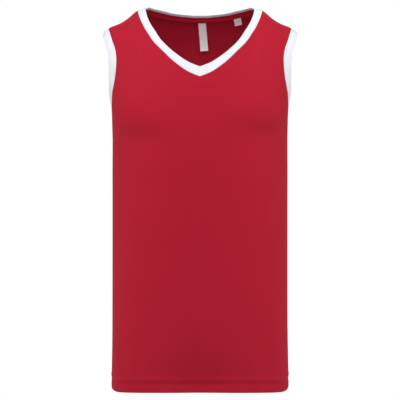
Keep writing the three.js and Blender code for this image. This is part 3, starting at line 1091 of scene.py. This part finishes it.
def on_label(x, drop, tilt, sideways, downwards):
    """The pattern points of places on a label, in millimetres from its middle."""
    turn = math.radians(tilt)
    seen_x = x + sideways * math.cos(turn) + downwards * math.sin(turn)
    seen_drop = drop - sideways * math.sin(turn) + downwards * math.cos(turn)
    return pattern("back", seen_drop, x=seen_x)


def label(name, x, drop, width, length, tilt, loft, hang, tuck):
    down = np.linspace(-tuck / length, 1, 41)[:, None]
    aside = np.linspace(-0.5, 0.5, 13)[None, :]
    downwards = (down - 0.5) * length + 0 * aside
    sideways = aside * width + 0 * down
    curl = LABEL_CURL * (4 * aside**2) * np.clip(down, 0, 1) + LABEL_RIPPLE * np.sin(down * 7 + aside * 2)
    away = PANEL_BACK + loft + hang * np.clip(down, 0, 1) ** 2 + curl
    points = on_label(x, drop, tilt, sideways, downwards)
    cloth = np.stack([sideways, downwards], -1) * MILLIMETRE
    grid = (place("back", points, away), place("back", points, away + LABEL_SATIN), cloth)
    piece = closed_cloth(name, [grid], label_satin)
    report(piece)
    return piece


main_label = label("main_label_satin", **MAIN_LABEL)
size_label = label("size_label_satin", **SIZE_LABEL)

# %% [markdown]
# ## Stitches
# A row of stitches repeats along a path, which is work for Geometry Nodes. The tree takes a path, steps
# along it evenly, puts a thread-thick bead on every step with its long axis along the path, and turns the
# beads into a mesh. Each bead has few faces, because there are many of them. A little chance, with a fixed
# seed, keeps the row from looking machined.


# %% The stitch tree
def stitch_tree():
    tree = bpy.data.node_groups.new("stitches", "GeometryNodeTree")
    tree.interface.new_socket("Path", in_out="INPUT", socket_type="NodeSocketGeometry")
    for name, value in (("Step", 0.003), ("Stitch", 0.0024), ("Thread", 0.0004), ("Unevenness", 0.08)):
        tree.interface.new_socket(name, in_out="INPUT", socket_type="NodeSocketFloat").default_value = value
    tree.interface.new_socket("Seed", in_out="INPUT", socket_type="NodeSocketInt").default_value = 3
    tree.interface.new_socket("Finish", in_out="INPUT", socket_type="NodeSocketMaterial")
    tree.interface.new_socket("Geometry", in_out="OUTPUT", socket_type="NodeSocketGeometry")
    make = tree.nodes.new
    given = make("NodeGroupInput")
    result = make("NodeGroupOutput")
    curve = make("GeometryNodeMeshToCurve")
    steps = make("GeometryNodeResampleCurve")
    steps.mode = "LENGTH"
    bead = make("GeometryNodeMeshUVSphere")
    shape = make("GeometryNodeTransform")
    for name, value in (("Segments", 6), ("Rings", 4), ("Radius", 0.5)):
        bead.inputs[name].default_value = value
    size = make("ShaderNodeCombineXYZ")
    tangent = make("GeometryNodeInputTangent")
    turn = make("FunctionNodeAlignRotationToVector")
    turn.axis = "Z"
    chance = make("FunctionNodeRandomValue")
    high = make("ShaderNodeMath")
    beads = make("GeometryNodeInstanceOnPoints")
    low = make("ShaderNodeMath")
    real = make("GeometryNodeRealizeInstances")
    paint = make("GeometryNodeSetMaterial")
    soft = make("GeometryNodeSetShadeSmooth")
    high.operation = "ADD"
    low.operation = "SUBTRACT"
    high.inputs[0].default_value = low.inputs[0].default_value = 1.0
    # Each link: from a node's output to a node's input. The float limits of chance are sockets 2 and 3.
    for source, output, target, taken in (
        (given, "Path", curve, "Mesh"),
        (curve, "Curve", steps, "Curve"),
        (given, "Step", steps, "Length"),
        (given, "Thread", size, "X"),
        (given, "Thread", size, "Y"),
        (given, "Stitch", size, "Z"),
        (bead, "Mesh", shape, "Geometry"),
        (size, "Vector", shape, "Scale"),
        (tangent, "Tangent", turn, "Vector"),
        (given, "Unevenness", high, 1),
        (given, "Unevenness", low, 1),
        (low, "Value", chance, 2),
        (high, "Value", chance, 3),
        (given, "Seed", chance, "Seed"),
        (steps, "Curve", beads, "Points"),
        (shape, "Geometry", beads, "Instance"),
        (turn, "Rotation", beads, "Rotation"),
        (chance, 1, beads, "Scale"),
        (beads, "Instances", real, "Geometry"),
        (real, "Geometry", soft, "Geometry"),
        (soft, "Geometry", paint, "Geometry"),
        (given, "Finish", paint, "Material"),
        (paint, "Geometry", result, "Geometry"),
    ):
        tree.links.new(source.outputs[output], target.inputs[taken])
    return tree


sewing = stitch_tree()
print("stitch inputs:", [item.name for item in sewing.interface.items_tree if item.in_out == "INPUT"])


# %% Rows of stitches
STITCH_LIFT = 0.12
TWIN_ROWS = (15.8, 20.4)


def stitch(name, paths, finish, **sizes):
    """A piece of stitches along paths, each (points in metres, whether it closes)."""
    points, edges = [], []
    for path, closes in paths:
        start, count = len(points), len(path)
        points += path.tolist()
        edges += [(start + i, start + i + 1) for i in range(count - 1)]
        if closes:
            edges.append((start + count - 1, start))
    mesh = bpy.data.meshes.new(name + "_path")
    mesh.from_pydata(points, edges, [])
    guide = bpy.data.objects.new(name + "_path", mesh)
    bpy.context.scene.collection.objects.link(guide)
    modifier = guide.modifiers.new("stitches", "NODES")
    modifier.node_group = sewing
    names = {item.name: item.identifier for item in sewing.interface.items_tree if item.in_out == "INPUT"}
    for key, value in sizes.items():
        modifier[names[key]] = value
    modifier[names["Finish"]] = finish
    bpy.context.view_layer.update()
    made = bpy.data.meshes.new_from_object(guide.evaluated_get(bpy.context.evaluated_depsgraph_get()))
    made.name = name
    bpy.data.objects.remove(guide)
    piece = bpy.data.objects.new(name, made)
    bpy.context.scene.collection.objects.link(piece)
    report(piece)
    return piece


def hem_path(height, depth):
    """The way round the jersey at a height above the hem's fold, as points in metres."""
    across = np.linspace(-QUARTER_GIRTH, QUARTER_GIRTH, 181)
    halves = []
    for side, ways in (("front", across[:-1]), ("back", across[:0:-1])):
        rough = figure(side, np.stack([ways, np.full_like(ways, LENGTH)], -1))
        points = pattern(side, LENGTH - height - hem_rise(ways), x=rough[:, 0])
        points[:, 0] = ways
        halves.append(place(side, points, depth))
    return np.vstack(halves)


hem_stitches = stitch(
    "hem_stitches",
    [(hem_path(height, -STITCH_LIFT), True) for height in TWIN_ROWS],
    red_thread,
    Step=0.0032,
    Stitch=0.0027,
)

# %% Stitches inside the back neck
TAPE_ROWS = (0.42, 0.98)


def tape_path(share):
    points = neck_points(np.array([share]), TAPE_END)[:, 0]
    points = np.vstack([(points * (-1, 1))[:0:-1], points])
    return place("back", points, tape_depth(np.array([share])) + TAPE_KNIT + STITCH_LIFT)


tape_stitches = stitch(
    "tape_stitches",
    [(tape_path(share), False) for share in TAPE_ROWS],
    red_thread,
    Step=0.0028,
    Stitch=0.0023,
)

# %% Stitches that hold the labels
LABEL_ROW = 1.6
LABEL_STITCH_LIFT = 0.35


def label_path(x, drop, width, length, tilt, loft, **_):
    """A short row of stitches across the top of a label."""
    aside = np.linspace(-0.44, 0.44, 9) * width
    points = on_label(x, drop, tilt, aside, LABEL_ROW - length / 2)
    return place("back", points, PANEL_BACK + loft + LABEL_SATIN + LABEL_STITCH_LIFT)


label_stitches = stitch(
    "label_stitches",
    [(label_path(**MAIN_LABEL), False), (label_path(**SIZE_LABEL), False)],
    white_thread,
    Step=0.0024,
    Stitch=0.0019,
)

# %% [markdown]
# ## Seam allowances
# Inside, every side seam leaves two raw edges. They are trimmed together, pressed towards the back and
# bound with an overlock stitch, so that the knit can't run. The strip follows the back panel's inner face.

# %% Side seam allowances
ALLOWANCE = 6.5
SEAM_FROM, SEAM_TO = 232.0, 724.0
ALLOWANCE_DEPTH = KNIT + 0.25
ALLOWANCE_KNIT = 1.2
OVERLOCK_ROWS = (0.35, 0.97)


def allowance_points(across, hand):
    """A line of pattern points down the back, this far across from the side seam."""
    down = np.linspace(SEAM_FROM, SEAM_TO, 100)
    rough = figure("back", np.stack([np.full_like(down, QUARTER_GIRTH), down], -1))
    points = pattern("back", down, x=rough[:, 0])
    points[:, 0] = QUARTER_GIRTH - across
    return points * (hand, 1.0)


def allowance_line(across, hand, depth):
    points = allowance_points(across, hand)
    return place("back", points, depth + groove("back", points * (hand, 1.0)))


def side_allowance(hand, name):
    lines = (0.0, ALLOWANCE / 3, ALLOWANCE * 2 / 3, ALLOWANCE)
    outer = np.stack([allowance_line(across, hand, ALLOWANCE_DEPTH) for across in lines])
    inner = np.stack([allowance_line(across, hand, ALLOWANCE_DEPTH + ALLOWANCE_KNIT) for across in lines])
    cloth = np.stack([allowance_points(across, hand) for across in lines]) * MILLIMETRE
    piece = closed_cloth(name, [(outer, inner, cloth)], red_knit)
    report(piece)
    return piece


seam_allowances = [side_allowance(1.0, "side_seam_left"), side_allowance(-1.0, "side_seam_right")]
overlock = stitch(
    "overlock_stitches",
    [
        (allowance_line(ALLOWANCE * share, hand, ALLOWANCE_DEPTH + ALLOWANCE_KNIT + STITCH_LIFT), False)
        for hand in (1.0, -1.0)
        for share in OVERLOCK_ROWS
    ],
    red_thread,
    Step=0.0026,
    Stitch=0.0022,
)

# %% [markdown]
# ## Every piece in the frame
# The pieces all ride on the one body, and each cloth piece stands for its imported node, which is hidden.
# A panel's cut is the nominal pattern, its allowances and the hem. A band's cut is the whole strip before it
# is folded.

# %% Rides
ROOT = "root"

cloth_pieces = [
    (front_panel, "front_panel", "red_knit"),
    (back_panel, "back_panel", "red_knit"),
    (neck_band_piece, "neck_band", "white_knit"),
    (armhole_band_left, "armhole_band_left", "white_knit"),
    (armhole_band_right, "armhole_band_right", "white_knit"),
    (neck_tape_piece, "neck_tape", "red_knit"),
    (main_label, "main_label", "label_satin"),
    (size_label, "size_label", "label_satin"),
]
for piece, node, finish_slot in cloth_pieces:
    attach(piece, ROOT)
    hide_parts(node)
for piece in (hem_stitches, tape_stitches, overlock, *seam_allowances):
    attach(piece, ROOT)
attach(label_stitches, ROOT)

# %% [markdown]
# ## Stage
# The jersey hangs in a white studio: a pale round floor well below the hem, and a bright dome behind it
# that only the camera sees, so that it neither lights the cloth nor throws a shadow. Towards its rim the
# floor turns as bright as the dome, so that no horizon shows.

# %% Floor and dome
FLOOR_HEIGHT = -1.25
FLOOR_RADIUS = 6.8
FLOOR_FADE = (1.2, 5.5)
DOME_RADIUS = 30.0
WHITE = (1.0, 1.0, 1.0, 1.0)


def stage_piece(name, material, build):
    mesh = bpy.data.meshes.new(name)
    shape = bmesh.new()
    build(shape)
    shape.to_mesh(mesh)
    shape.free()
    mesh.materials.append(material)
    mesh.shade_smooth()
    piece = bpy.data.objects.new(name, mesh)
    bpy.context.scene.collection.objects.link(piece)
    return piece


def glowing(finish):
    return finish.node("ShaderNodeEmission", (), {"Color": WHITE, "Strength": 1.0})["Emission"]


def fading_floor():
    finish = Finish("floor")
    place = finish.node("ShaderNodeTexCoord")["Object"]
    away = finish.node("ShaderNodeVectorMath", {"operation": "LENGTH"}, {"Vector": place})["Value"]
    reach = {"Value": away, "From Min": FLOOR_FADE[0], "From Max": FLOOR_FADE[1]}
    share = finish.node("ShaderNodeMapRange", {"interpolation_type": "SMOOTHSTEP"}, reach)["Result"]
    clouds = finish.noise(2.0)
    colour = finish.mix(clouds, (0.84, 0.84, 0.85), (0.88, 0.88, 0.88))
    matt = finish.node("ShaderNodeBsdfPrincipled", (), {"Base Color": colour, "Roughness": 0.8})["BSDF"]
    both = finish.node("ShaderNodeMixShader", (), {0: share, 1: matt, 2: glowing(finish)})
    return finish.end(both["Shader"])


dome_finish = Finish("dome")
dome_finish.end(glowing(dome_finish))

floor = stage_piece(
    "floor",
    fading_floor(),
    lambda shape: bmesh.ops.create_circle(shape, cap_ends=True, segments=128, radius=FLOOR_RADIUS),
)
floor.location.z = FLOOR_HEIGHT
dome = stage_piece(
    "dome",
    dome_finish.material,
    lambda shape: bmesh.ops.create_uvsphere(shape, u_segments=64, v_segments=32, radius=DOME_RADIUS),
)
dome.visible_diffuse = dome.visible_glossy = dome.visible_transmission = dome.visible_shadow = False
print("stage:", floor.name, dome.name)
